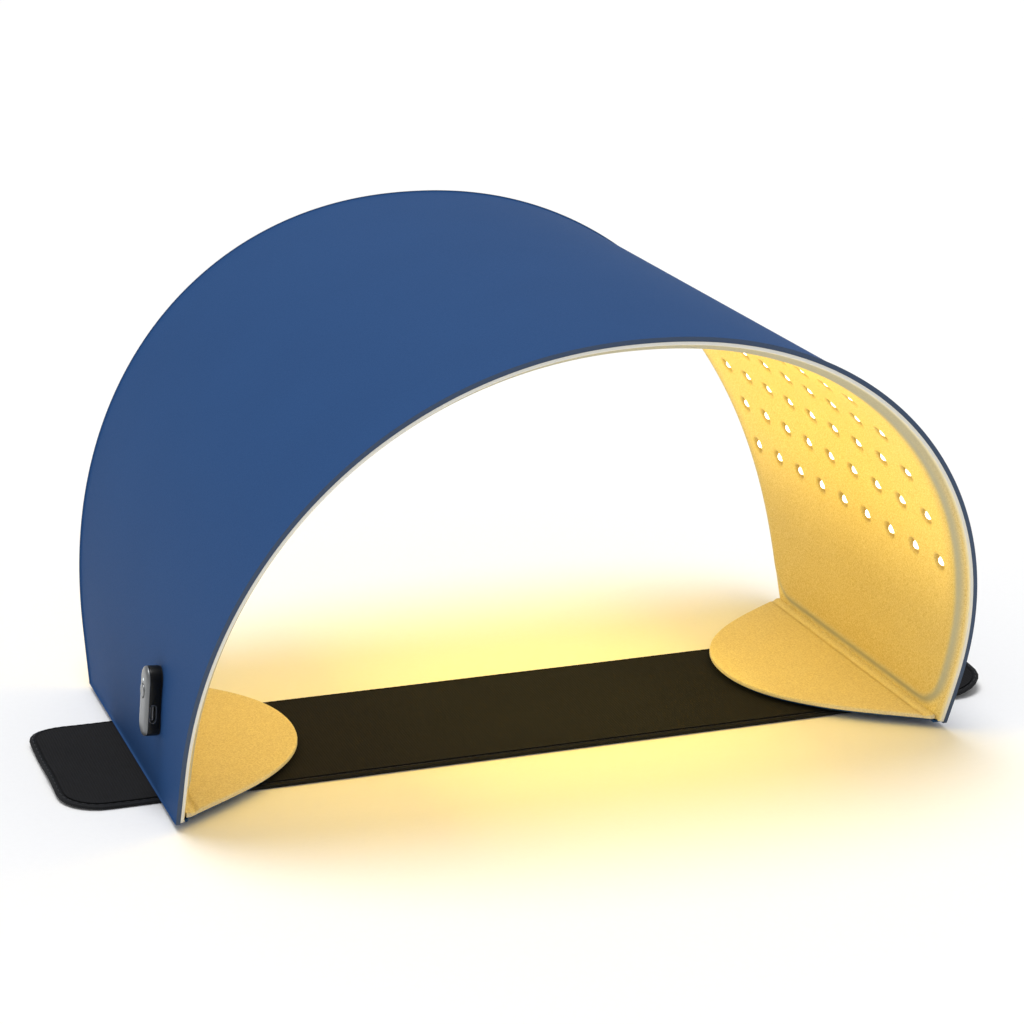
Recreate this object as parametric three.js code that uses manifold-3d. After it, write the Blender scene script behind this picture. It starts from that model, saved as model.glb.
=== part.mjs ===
// LED light-therapy face mask: a flexible lit panel bent into an arch that stands over the face,
// with a fold-in flap at each foot and a black strap under both flaps.
// Millimetres, +Z up, X across the arch, Y along its tunnel, front at -Y, floor at z = 0.
import * as THREE from 'three';
import * as BufferGeometryUtils from 'three/addons/utils/BufferGeometryUtils.js';
import Module from 'manifold-3d';

const wasm = await Module();
wasm.setup();

// ---------------------------------------------------------------- driving dimensions

// Arch seen from the front, measured on its outer face.
const WALL_HALF_SPAN = 191;
const CROWN_HEIGHT = 227;
const WALL_BASE = 3;
const STRAIGHT_WALL_TOP = 28;
const ARCH_EXPONENT = 2.12;

// Front and back edges: the panel is deepest at the crown and narrows towards its feet.
const CROWN_HALF_DEPTH = 163;
const FOOT_HALF_DEPTH = 92;
const EDGE_EXPONENT = 2.2;

// The panel's sheets, as distances inwards from the outer face.
const GAP = 0.3;
const COVER = { from: 0, to: 1.2 };
const CORE = { from: 1.5, to: 2.3 };
const BOARD = { from: 2.6, to: 3.2 };
const LINING_MARGIN = { from: 3.5, to: 4.7 };
const LINING_FIELD = { from: 4.4, to: 6.3 };
const CORE_EDGE_INSET = 4;
const FIELD_EDGE_INSET = 6.5;
const FIELD_FOOT_GAP = 8;

// LED grid: rows across the arch, columns along the tunnel.
const PITCHES_PER_HALF = 13;
const LIT_ROWS_PER_HALF = 10;
const LED_COLUMNS = 9;
const FACETS_PER_PITCH = 3;
const CROWN_PITCHES = 2;
const LED_SIZE = { across: 3.5, along: 2.8, height: 0.9 };
const WINDOW_SIZE = 6;

// Flaps that fold in at each foot.
const FOLD_X = 184.3;
const FLAP_FOOT_INSET = 2;
const FLAP_LENGTH = 71.5;
const FLAP_CURVE = { nearX: 0.33, nearY: 0.81, tipY: 0.57 };  // handles of its rounded outline
const FLAP_COVER = { from: 3.9, to: 4.9 };
const FLAP_LINING = { from: 5.2, to: 7.2 };
const FLAP_COVER_INSET = 1;
const HOOK_PAD = { from: 2.9, to: 3.6, start: 14, length: 38, width: 74, radius: 8 };

// Strap that the head lies on.
const STRAP = { length: 470, width: 102, radius: 20, forward: 8.5 };
const STRAP_CORE = { from: 0, to: 1.7 };
const STRAP_FACE = { from: 2, to: 2.6, inset: 4 };

// Control pod on the outside of the left wall, in its own frame:
// x towards the front, y up the wall, z out of the wall.
const POD = { height: 33, width: 13, aboveFloor: 49.5, fromCentre: 57.5 };
const POD_GASKET = { from: 0.3, to: 0.7, inset: 0.3 };
const POD_BASE = { from: 1, floor: 2, to: 5.4, wall: 1 };
const POD_CAP = { from: 5.7, to: 7.4, bevel: 0.6 };
const BACKING = { from: 1.5, to: 2.1, width: 11, height: 31 };
const USB = { width: 8.94, height: 3.16, depth: 7, wall: 0.3, back: 0.6, setBack: 0.2, y: -4.3, z: 3.7 };
const USB_TONGUE = { width: 6.7, thickness: 0.7, depth: 4.6 };
const POD_BOARD = { width: 9.6, from: 0.9, to: 11.4, bottom: 2.3, thickness: 0.6 };
const BUTTON = { y: 5, radius: 3.3, proud: 0.6, lip: 0.5, lipWidth: 0.9, neck: 2.9, clearance: 0.35 };
const SWITCH = { size: 3.4, height: 0.6 };
const LIGHT_PIPE = { y: 10.3, radius: 0.7 };
const SCREW = { y: 13.3, headRadius: 1.3, headHeight: 0.7, shankRadius: 0.6, length: 2.6 };
const RIBBON = { x: -3.6, y: -4, width: 5, thickness: 0.3 };

const FINE = 24;     // sides of a round piece
const OVERLAP = 0.2;  // how far two joined shapes run into each other

// ---------------------------------------------------------------- materials

function material(color, roughness, metalness = 0) {
  return new THREE.MeshStandardMaterial({ color, roughness, metalness });
}

const finishes = {
  cover: () => material(0x35588a, 0.7),
  core: () => material(0x2a2d31, 0.8),
  board: () => material(0xe8e4d8, 0.5),
  lining: () => material(0xe9dcc0, 0.85),
  strap: () => material(0x17181a, 0.9),
  strapFace: () => material(0x1d1e20, 1),
  hook: () => material(0x202124, 0.95),
  pod: () => material(0x2b2c2e, 0.3),
  cap: () => material(0xb9bab9, 0.35, 0.6),
  button: () => material(0x9a9b9c, 0.35, 0.4),
  rubber: () => material(0x1a1b1c, 0.9),
  steel: () => material(0xa8abae, 0.35, 1),
  tongue: () => material(0x2a2a2c, 0.5),
  circuit: () => material(0x1e5a3a, 0.5),
  lens: () => material(0xf2f4f5, 0.2),
  flex: () => material(0xb06a2a, 0.5),
};

// ---------------------------------------------------------------- solids

function toManifold(geometry) {
  const bare = geometry.clone();
  bare.deleteAttribute('normal');
  bare.deleteAttribute('uv');
  const merged = BufferGeometryUtils.mergeVertices(bare, 1e-4);
  return new wasm.Manifold(new wasm.Mesh({
    numProp: 3,
    vertProperties: merged.attributes.position.array,
    triVerts: new Uint32Array(merged.index.array),
  }));
}

function toGeometry(solid) {
  const mesh = solid.getMesh();
  const geometry = new THREE.BufferGeometry();
  geometry.setAttribute('position', new THREE.BufferAttribute(mesh.vertProperties, 3));
  geometry.setIndex(new THREE.BufferAttribute(mesh.triVerts, 1));
  geometry.computeVertexNormals();
  return geometry;
}

function subtractAll(solid, cutters) {
  return cutters.reduce((rest, cutter) => rest.subtract(cutter), solid);
}

function addAll(solid, pieces) {
  return pieces.reduce((whole, piece) => whole.add(piece), solid);
}

function box(width, depth, height, x = 0, y = 0, z = 0) {
  return new THREE.BoxGeometry(width, depth, height).translate(x, y, z);
}

function plate(shape, { from, to }, curveSegments = 8) {
  const settings = { depth: to - from, bevelEnabled: false, curveSegments };
  return new THREE.ExtrudeGeometry(shape, settings).translate(0, 0, from);
}

function disc(radius, { from, to }, x = 0, y = 0) {
  const geometry = new THREE.CylinderGeometry(radius, radius, to - from, FINE);
  return geometry.rotateX(Math.PI / 2).translate(x, y, (from + to) / 2);
}

function roundedRectangle(length, width, radius) {
  const x = length / 2;
  const y = width / 2;
  const shape = new THREE.Shape();
  shape.moveTo(-x + radius, -y);
  shape.lineTo(x - radius, -y);
  shape.absarc(x - radius, -y + radius, radius, -Math.PI / 2, 0);
  shape.lineTo(x, y - radius);
  shape.absarc(x - radius, y - radius, radius, 0, Math.PI / 2);
  shape.lineTo(-x + radius, y);
  shape.absarc(-x + radius, y - radius, radius, Math.PI / 2, Math.PI);
  shape.lineTo(-x, -y + radius);
  shape.absarc(-x + radius, -y + radius, radius, Math.PI, 1.5 * Math.PI);
  return shape;
}

// A straight-sided shape with half-round ends, height along y.
function stadium(width, height) {
  const radius = width / 2;
  const straight = height / 2 - radius;
  const shape = new THREE.Shape();
  shape.absarc(0, straight, radius, 0, Math.PI);
  shape.absarc(0, -straight, radius, Math.PI, 2 * Math.PI);
  shape.closePath();
  return shape;
}

// ---------------------------------------------------------------- arch

// Outer face of the arch from the left foot (t = 0) over the crown to the right foot (t = 1).
class ArchCurve extends THREE.Curve {
  getPoint(t, target = new THREE.Vector3()) {
    const wallShare = 0.04;
    const climb = STRAIGHT_WALL_TOP - WALL_BASE;
    if (t < wallShare) {
      return target.set(-WALL_HALF_SPAN, 0, WALL_BASE + climb * t / wallShare);
    }
    if (t > 1 - wallShare) {
      return target.set(WALL_HALF_SPAN, 0, WALL_BASE + climb * (1 - t) / wallShare);
    }
    const angle = Math.PI * (t - wallShare) / (1 - 2 * wallShare);
    const power = 2 / ARCH_EXPONENT;
    const across = -Math.sign(Math.cos(angle)) * Math.abs(Math.cos(angle)) ** power;
    const up = Math.max(Math.sin(angle), 0) ** power;
    return target.set(
      WALL_HALF_SPAN * across, 0, STRAIGHT_WALL_TOP + (CROWN_HEIGHT - STRAIGHT_WALL_TOP) * up);
  }
}

const arch = new ArchCurve();
arch.arcLengthDivisions = 4000;
const HALF_ARC = arch.getLength() / 2;
const PITCH = HALF_ARC / PITCHES_PER_HALF;
const CROWN_EDGE = CROWN_PITCHES * PITCH;

// Point and directions on the outer face, at a distance along the arch from the crown's middle.
function archFrame(distance) {
  const share = THREE.MathUtils.clamp(0.5 + distance / (2 * HALF_ARC), 0, 1);
  const point = arch.getPointAt(share);
  const step = 0.0005;
  const before = arch.getPointAt(Math.max(share - step, 0));
  const after = arch.getPointAt(Math.min(share + step, 1));
  const along = after.sub(before).normalize();
  const outward = new THREE.Vector3(-along.z, 0, along.x);
  return { point, along, outward };
}

function halfDepth(distance) {
  const toCrown = Math.min(Math.abs(distance) / HALF_ARC, 1);
  return CROWN_HALF_DEPTH - (CROWN_HALF_DEPTH - FOOT_HALF_DEPTH) * toCrown ** EDGE_EXPONENT;
}

// A flat sheet bent onto the arch. start and end are distances from the crown's middle,
// and the layer's from and to are distances inwards from the outer face.
function bentSheet(start, end, layer, edgeInset = 0) {
  const facets = Math.round((end - start) * FACETS_PER_PITCH / PITCH);
  const sheet = new THREE.BoxGeometry(end - start, 2, layer.to - layer.from, facets, 1, 1);
  const position = sheet.attributes.position;
  for (let i = 0; i < position.count; i += 1) {
    const distance = position.getX(i) + (start + end) / 2;
    const inward = (layer.from + layer.to) / 2 - position.getZ(i);
    const { point, outward } = archFrame(distance);
    point.addScaledVector(outward, -inward);
    position.setXYZ(i, point.x, position.getY(i) * (halfDepth(distance) - edgeInset), point.z);
  }
  return sheet;
}

// Turns a geometry with z out of the wall, x along the arch and y along the tunnel to its place.
function placeOnArch(geometry, distance, y) {
  const { point, along, outward } = archFrame(distance);
  const turn = new THREE.Matrix4().makeBasis(along, new THREE.Vector3(0, 1, 0), outward);
  turn.setPosition(point.x, y, point.z);
  return geometry.applyMatrix4(turn);
}

function ledPlaces(start, end) {
  const places = [];
  for (let row = -LIT_ROWS_PER_HALF; row < LIT_ROWS_PER_HALF; row += 1) {
    const distance = (row + 0.5) * PITCH;
    if (distance > start && distance < end) {
      for (let column = 0; column < LED_COLUMNS; column += 1) {
        places.push({ distance, y: (column - (LED_COLUMNS - 1) / 2) * PITCH });
      }
    }
  }
  return places;
}

function ledBoard(start, end, places) {
  const sheet = toManifold(bentSheet(start, end, BOARD, CORE_EDGE_INSET));
  const leds = places.map(({ distance, y }) => {
    const led = box(LED_SIZE.across, LED_SIZE.along, LED_SIZE.height + OVERLAP,
      0, 0, -BOARD.to - (LED_SIZE.height - OVERLAP) / 2);
    return toManifold(placeOnArch(led, distance, y));
  });
  return addAll(sheet, leds);
}

function lining(start, end, fieldStart, fieldEnd, places) {
  const margin = toManifold(bentSheet(start, end, LINING_MARGIN));
  const field = toManifold(bentSheet(fieldStart, fieldEnd, LINING_FIELD, FIELD_EDGE_INSET));
  const depth = LINING_FIELD.to - LINING_MARGIN.from + 2 * OVERLAP;
  const middle = (LINING_FIELD.to + LINING_MARGIN.from) / 2;
  const windows = places.map(({ distance, y }) => toManifold(
    placeOnArch(box(WINDOW_SIZE, WINDOW_SIZE, depth, 0, 0, -middle), distance, y)));
  return subtractAll(margin.add(field), windows);
}

// ---------------------------------------------------------------- flaps and strap

function flapOutline(inset) {
  const shape = new THREE.Shape();
  const reach = FLAP_LENGTH - inset;
  const half = FOOT_HALF_DEPTH - FLAP_FOOT_INSET - inset;
  const near = { x: reach * FLAP_CURVE.nearX, y: half * FLAP_CURVE.nearY };
  const tip = { x: reach, y: half * FLAP_CURVE.tipY };
  shape.moveTo(0, -half);
  shape.bezierCurveTo(near.x, -near.y, tip.x, -tip.y, reach, 0);
  shape.bezierCurveTo(tip.x, tip.y, near.x, near.y, 0, half);
  shape.closePath();
  return shape;
}

// side is -1 for the left flap and 1 for the right; a flap reaches from its fold to the middle.
function flapSolid(shape, layer, side) {
  const solid = plate(shape, layer, 10);
  if (side > 0) {
    solid.rotateZ(Math.PI);
  }
  return solid.translate(side * FOLD_X, 0, 0);
}

function hookPadSolid(side) {
  const centre = FOLD_X - HOOK_PAD.start - HOOK_PAD.length / 2;
  const shape = roundedRectangle(HOOK_PAD.length, HOOK_PAD.width, HOOK_PAD.radius);
  return plate(shape, HOOK_PAD, 4).translate(side * centre, 0, 0);
}

// ---------------------------------------------------------------- control pod

const POD_DISTANCE = -(HALF_ARC - (POD.aboveFloor - WALL_BASE));
const podWall = archFrame(POD_DISTANCE);
const podFrame = new THREE.Matrix4().makeBasis(
  new THREE.Vector3(0, -1, 0), podWall.along, podWall.outward);
podFrame.setPosition(podWall.point.x, -POD.fromCentre, podWall.point.z);

function inPod(geometry) {
  return toManifold(geometry.applyMatrix4(podFrame));
}

// Everything between two depths of the left wall; negative depths lie outside the wall.
function wallBand(from, to) {
  return toManifold(bentSheet(-HALF_ARC, -CROWN_EDGE, { from, to }));
}

const podDeep = { from: -8, to: 8 };  // cuts right through the wall and the pod

function podSlot(clearance) {
  return inPod(box(RIBBON.thickness + 2 * clearance, RIBBON.width + 2 * clearance,
    podDeep.to - podDeep.from, RIBBON.x, RIBBON.y, 0));
}

function podScrewHoles(radius) {
  return [SCREW.y, -SCREW.y].map((y) => inPod(disc(radius, podDeep, 0, y)));
}

function podGasket() {
  const band = wallBand(-POD_GASKET.to, -POD_GASKET.from);
  const outline = stadium(POD.width - 2 * POD_GASKET.inset, POD.height - 2 * POD_GASKET.inset);
  const ring = band.intersect(inPod(plate(outline, podDeep)));
  return subtractAll(ring, [podSlot(GAP), ...podScrewHoles(SCREW.shankRadius + GAP)]);
}

function podBase() {
  const outer = inPod(plate(stadium(POD.width, POD.height), { from: podDeep.from, to: POD_BASE.to }));
  const hollow = stadium(POD.width - 2 * POD_BASE.wall, POD.height - 2 * POD_BASE.wall);
  const cavity = inPod(plate(hollow, { from: POD_BASE.floor, to: POD_BASE.to + OVERLAP }));
  const mouth = inPod(box(4 * POD_BASE.wall, USB.width + 2 * GAP, USB.height + 2 * GAP,
    POD.width / 2, USB.y, USB.z));
  const behindWall = wallBand(-POD_BASE.from, podDeep.to + 2);
  return subtractAll(outer, [behindWall, cavity, mouth, podSlot(GAP),
    ...podScrewHoles(SCREW.shankRadius + GAP)]);
}

function podCap() {
  const settings = {
    depth: POD_CAP.to - POD_CAP.from - POD_CAP.bevel,
    bevelEnabled: true,
    bevelThickness: POD_CAP.bevel,
    bevelSize: POD_CAP.bevel,
    bevelOffset: -POD_CAP.bevel,
    bevelSegments: 2,
    curveSegments: 8,
  };
  const crowned = new THREE.ExtrudeGeometry(stadium(POD.width, POD.height), settings);
  const cap = inPod(crowned.translate(0, 0, POD_CAP.from));
  const below = inPod(box(2 * POD.width, 2 * POD.height, POD_CAP.from, 0, 0, POD_CAP.from / 2));
  const buttonHole = inPod(disc(BUTTON.radius + BUTTON.clearance, podDeep, 0, BUTTON.y));
  const lightHole = inPod(disc(LIGHT_PIPE.radius + GAP, podDeep, 0, LIGHT_PIPE.y));
  return subtractAll(cap, [below, buttonHole, lightHole]);
}

function powerButton() {
  const head = inPod(disc(BUTTON.radius, {
    from: POD_CAP.from, to: POD_CAP.to + BUTTON.proud }, 0, BUTTON.y));
  const flange = inPod(disc(BUTTON.radius + BUTTON.lipWidth, {
    from: POD_CAP.from - GAP - BUTTON.lip, to: POD_CAP.from - GAP }, 0, BUTTON.y));
  const neck = inPod(disc(BUTTON.neck, {
    from: POD_CAP.from - GAP - OVERLAP, to: POD_CAP.from + OVERLAP }, 0, BUTTON.y));
  return head.add(neck).add(flange);
}

function tactSwitch() {
  const bottom = POD_BOARD.bottom + POD_BOARD.thickness + GAP;
  return inPod(box(SWITCH.size, SWITCH.size, SWITCH.height, 0, BUTTON.y,
    bottom + SWITCH.height / 2));
}

function podBoard() {
  const { width, from, to, bottom, thickness } = POD_BOARD;
  return inPod(box(width, to - from, thickness, 0, (from + to) / 2, bottom + thickness / 2));
}

function lightPipe() {
  return inPod(disc(LIGHT_PIPE.radius, {
    from: POD_BOARD.bottom + POD_BOARD.thickness + GAP, to: POD_CAP.to + 0.1 }, 0, LIGHT_PIPE.y));
}

function usbShell() {
  const x = POD.width / 2 - USB.setBack - USB.depth / 2;
  const outer = inPod(box(USB.depth, USB.width, USB.height, x, USB.y, USB.z));
  const inner = inPod(box(USB.depth, USB.width - 2 * USB.wall, USB.height - 2 * USB.wall,
    x + USB.back, USB.y, USB.z));
  return outer.subtract(inner);
}

function usbTongue() {
  const x = POD.width / 2 - USB.setBack - USB.depth + USB.back + GAP + USB_TONGUE.depth / 2;
  return inPod(box(USB_TONGUE.depth, USB_TONGUE.width, USB_TONGUE.thickness, x, USB.y, USB.z));
}

function podScrew(y) {
  const top = POD_BASE.floor + GAP;
  const head = inPod(disc(SCREW.headRadius, { from: top, to: top + SCREW.headHeight }, 0, y));
  const shank = inPod(disc(SCREW.shankRadius, { from: top - SCREW.length, to: top + OVERLAP }, 0, y));
  return head.add(shank);
}

function backingPlate() {
  const rough = inPod(plate(stadium(BACKING.width, BACKING.height), podDeep));
  const sheet = wallBand(BACKING.from, BACKING.to).intersect(rough);
  return subtractAll(sheet, [podSlot(GAP), ...podScrewHoles(SCREW.shankRadius + GAP)]);
}

function ribbonCable() {
  const from = -BOARD.from + GAP;
  const to = POD_BOARD.bottom + 0.7;
  return inPod(box(RIBBON.thickness, RIBBON.width, to - from, RIBBON.x, RIBBON.y, (from + to) / 2));
}

// ---------------------------------------------------------------- assembly

const mask = new THREE.Group();

function piece(name, shape, makeMaterial) {
  const geometry = shape.isBufferGeometry ? shape : toGeometry(shape);
  const mesh = new THREE.Mesh(geometry, makeMaterial());
  mesh.name = name;
  mask.add(mesh);
}

const crownEnd = CROWN_EDGE - GAP / 2;
const sideStart = CROWN_EDGE + GAP / 2;
const fieldFoot = HALF_ARC - FIELD_FOOT_GAP;
const sections = [
  { name: 'left', start: -HALF_ARC, end: -sideStart, fieldStart: -fieldFoot },
  { name: 'crown', start: -crownEnd, end: crownEnd },
  { name: 'right', start: sideStart, end: HALF_ARC, fieldEnd: fieldFoot },
];

for (const { name, start, end, fieldStart = start, fieldEnd = end } of sections) {
  const places = ledPlaces(start, end);
  let cover = toManifold(bentSheet(start, end, COVER));
  let core = toManifold(bentSheet(start, end, CORE, CORE_EDGE_INSET));
  if (name === 'left') {
    cover = subtractAll(cover, [podSlot(GAP), ...podScrewHoles(SCREW.shankRadius + GAP)]);
    const hole = stadium(BACKING.width + 2 * GAP, BACKING.height + 2 * GAP);
    core = core.subtract(inPod(plate(hole, podDeep)));
  }
  piece(`outer_cover_${name}`, cover, finishes.cover);
  piece(`shape_core_${name}`, core, finishes.core);
  piece(`led_board_${name}`, ledBoard(start, end, places), finishes.board);
  piece(`lining_${name}`, lining(start, end, fieldStart, fieldEnd, places), finishes.lining);
}

for (const [name, side] of [['left', -1], ['right', 1]]) {
  piece(`flap_cover_${name}`,
    flapSolid(flapOutline(FLAP_COVER_INSET), FLAP_COVER, side), finishes.cover);
  piece(`flap_lining_${name}`, flapSolid(flapOutline(0), FLAP_LINING, side), finishes.lining);
  piece(`hook_pad_${name}`, hookPadSolid(side), finishes.hook);
}

piece('strap_core', plate(
  roundedRectangle(STRAP.length, STRAP.width, STRAP.radius), STRAP_CORE)
  .translate(0, -STRAP.forward, 0), finishes.strap);
piece('strap_loop_face', plate(roundedRectangle(
  STRAP.length - 2 * STRAP_FACE.inset, STRAP.width - 2 * STRAP_FACE.inset,
  STRAP.radius - STRAP_FACE.inset), STRAP_FACE)
  .translate(0, -STRAP.forward, 0), finishes.strapFace);

piece('pod_gasket', podGasket(), finishes.rubber);
piece('pod_base', podBase(), finishes.pod);
piece('pod_cap', podCap(), finishes.cap);
piece('pod_circuit_board', podBoard(), finishes.circuit);
piece('power_switch', tactSwitch(), finishes.steel);
piece('power_button', powerButton(), finishes.button);
piece('status_light_pipe', lightPipe(), finishes.lens);
piece('usb_socket_shell', usbShell(), finishes.steel);
piece('usb_socket_tongue', usbTongue(), finishes.tongue);
piece('pod_backing_plate', backingPlate(), finishes.steel);
piece('pod_screw_top', podScrew(SCREW.y), finishes.steel);
piece('pod_screw_bottom', podScrew(-SCREW.y), finishes.steel);
piece('pod_ribbon_cable', ribbonCable(), finishes.flex);

export default mask;
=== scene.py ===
"""Visual model of an LED light-therapy face mask: a lit panel bent into an arch over a strap.

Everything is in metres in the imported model's frame: X across the arch, Y along its tunnel with
the front at -Y, Z up, and the floor at z = 0.
"""

import functools
import logging
import math
from collections.abc import Callable, Iterable, Sequence
from dataclasses import dataclass
from enum import Enum

import bmesh
import bpy
import numpy as np
from mathutils import Matrix, Vector


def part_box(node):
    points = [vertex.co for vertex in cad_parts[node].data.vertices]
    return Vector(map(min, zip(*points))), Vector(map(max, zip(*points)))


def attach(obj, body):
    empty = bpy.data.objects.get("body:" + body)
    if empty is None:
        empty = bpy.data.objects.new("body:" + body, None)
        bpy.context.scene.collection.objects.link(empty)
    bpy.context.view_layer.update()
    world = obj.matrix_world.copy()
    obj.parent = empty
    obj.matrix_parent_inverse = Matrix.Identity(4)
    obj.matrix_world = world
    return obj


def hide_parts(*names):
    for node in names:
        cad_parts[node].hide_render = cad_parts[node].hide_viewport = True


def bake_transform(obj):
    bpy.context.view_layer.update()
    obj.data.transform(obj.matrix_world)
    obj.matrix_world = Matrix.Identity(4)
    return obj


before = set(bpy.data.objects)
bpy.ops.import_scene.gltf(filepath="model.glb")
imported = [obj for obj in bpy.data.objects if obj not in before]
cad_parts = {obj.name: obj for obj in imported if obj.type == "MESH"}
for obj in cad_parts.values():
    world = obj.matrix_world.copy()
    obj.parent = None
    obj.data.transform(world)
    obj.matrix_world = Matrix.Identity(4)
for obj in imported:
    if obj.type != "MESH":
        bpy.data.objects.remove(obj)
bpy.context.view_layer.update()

MM = 0.001
LOG = logging.getLogger("led_face_mask")
HeightMap = Callable[[np.ndarray, np.ndarray], np.ndarray]
Share = Callable[[np.ndarray, np.ndarray, np.ndarray], np.ndarray]
BMesh, BMVert, BMEdge = bmesh.types.BMesh, bmesh.types.BMVert, bmesh.types.BMEdge
Tree, Node, Socket = bpy.types.NodeTree, bpy.types.Node, bpy.types.NodeSocket


class Side(Enum):
    """The half of the mask, by the sign of its X."""

    LEFT = -1
    RIGHT = 1

    @property
    def label(self) -> str:
        """The half's name as the frame's nodes and bodies spell it."""
        return self.name.lower()


class Grain(Enum):
    """The direction that a woven or brushed pattern runs in, as a stretch along X, Y and Z."""

    ALONG_Y = (1.0, 0.12, 1.0)
    EVEN = (1.0, 1.0, 1.0)


# ---------------------------------------------------------------- numbers and colours


def linear(hex_colour: str) -> tuple[float, float, float, float]:
    """Turns an sRGB hex colour to linear RGBA.

    Args:
        hex_colour: Six hex digits, with or without a leading hash.

    Returns:
        The linear red, green and blue, and an alpha of 1.
    """
    digits = hex_colour.lstrip("#")
    parts = [int(digits[i:i + 2], 16) / 255 for i in (0, 2, 4)]
    turned = [p / 12.92 if p <= 0.04045 else ((p + 0.055) / 1.055) ** 2.4 for p in parts]
    return turned[0], turned[1], turned[2], 1.0


def smooth(value: np.ndarray, low: float, high: float) -> np.ndarray:
    """Rises smoothly from 0 at low to 1 at high.

    Args:
        value: The values to read.
        low: Where the rise starts.
        high: Where it ends.

    Returns:
        The share at each value.
    """
    share = np.clip((value - low) / (high - low), 0, 1)
    return share * share * (3 - 2 * share)


# ---------------------------------------------------------------- finishes


def add_node(
    tree: Tree,
    kind: str,
    settings: dict[str, object] | None = None,
    inputs: dict[str | int, object] | None = None,
) -> Node:
    """Adds one node with its settings, values and links.

    Args:
        tree: The node tree.
        kind: The node's type.
        settings: Properties of the node.
        inputs: Values for its sockets, or the output sockets that feed them.

    Returns:
        The node.
    """
    made = tree.nodes.new(kind)
    for key, value in (settings or {}).items():
        setattr(made, key, value)
    for key, value in (inputs or {}).items():
        if isinstance(value, Socket):
            tree.links.new(value, made.inputs[key])
        else:
            made.inputs[key].default_value = value
    return made


@dataclass(frozen=True)
class Finish:
    """What every finish has. Pattern sizes are in metres.

    Attributes:
        name: The real material and how its surface was made.
        colour: Main colour, sRGB hex.
        second: The colour it varies towards.
        roughness: Middle roughness.
        grain: Size of the fine pattern.
        depth: Height of the fine pattern.
        cloud: Size of the slow colour change.
        ior: Index of refraction.
        metallic: 1 for metal.
        coat: Weight of a clear gloss coat.
        specular: Strength of its plain reflection, 0.5 for a clean surface.
        contrast: How sharply the two colours part, 1 for a soft change.
    """

    name: str
    colour: str
    second: str
    roughness: float
    grain: float
    depth: float
    cloud: float = 40 * MM
    ior: float = 1.45
    metallic: float = 0.0
    coat: float = 0.0
    specular: float = 0.5
    contrast: float = 1.0

    def build(self) -> bpy.types.Material:
        """Makes the material, with the pattern that dress adds.

        Returns:
            The material.
        """
        material = bpy.data.materials.new(self.name)
        material.use_nodes = True
        tree = material.node_tree
        tree.nodes.clear()
        shader = add_node(tree, "ShaderNodeBsdfPrincipled", inputs={
            "IOR": self.ior, "Metallic": self.metallic, "Coat Weight": self.coat,
            "Coat Roughness": 0.12, "Specular IOR Level": self.specular})
        add_node(tree, "ShaderNodeOutputMaterial", inputs={"Surface": shader.outputs[0]})
        place = add_node(tree, "ShaderNodeTexCoord").outputs["Object"]
        self.dress(tree, shader, place)
        return material

    def dress(self, tree: Tree, shader: Node, place: Socket) -> None:
        """Adds the colour change, the fine pattern and its bump.

        Args:
            tree: The material's nodes.
            shader: Its shader.
            place: Object coordinates.
        """
        cloud = add_node(tree, "ShaderNodeTexNoise", inputs={
            "Vector": place, "Scale": 1 / self.cloud, "Detail": 3.0})
        fine = self.fine_pattern(tree, place)
        slow = 0.4 / self.contrast ** 2
        spread = add_node(tree, "ShaderNodeMath", {"operation": "MULTIPLY_ADD"}, {
            0: cloud.outputs[0], 1: slow, 2: fine})
        middle = 0.5 + 0.5 * slow
        share = add_node(tree, "ShaderNodeMapRange", inputs={
            "Value": spread.outputs[0], "From Min": middle - 0.32 / self.contrast,
            "From Max": middle + 0.32 / self.contrast})
        tint = add_node(tree, "ShaderNodeMix", {"data_type": "RGBA"}, {
            0: share.outputs[0], 6: linear(self.second), 7: linear(self.colour)})
        self.paint(tree, shader, tint.outputs[2])
        rough = add_node(tree, "ShaderNodeMapRange", inputs={
            "Value": fine, "To Min": self.roughness + 0.07, "To Max": self.roughness - 0.05})
        bump = add_node(tree, "ShaderNodeBump", inputs={
            "Height": fine, "Distance": self.depth, "Strength": 0.9})
        tree.links.new(rough.outputs[0], shader.inputs["Roughness"])
        tree.links.new(bump.outputs[0], shader.inputs["Normal"])

    def fine_pattern(self, tree: Tree, place: Socket) -> Socket:
        """The fine pattern's height: an even grain, as a moulded or painted surface has."""
        noise = add_node(tree, "ShaderNodeTexNoise", inputs={
            "Vector": place, "Scale": 1 / self.grain, "Detail": 4.0, "Roughness": 0.62})
        return noise.outputs[0]

    def paint(self, tree: Tree, shader: Node, colour: Socket) -> None:
        """Feeds the colour to the shader."""
        tree.links.new(colour, shader.inputs["Base Color"])


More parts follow.
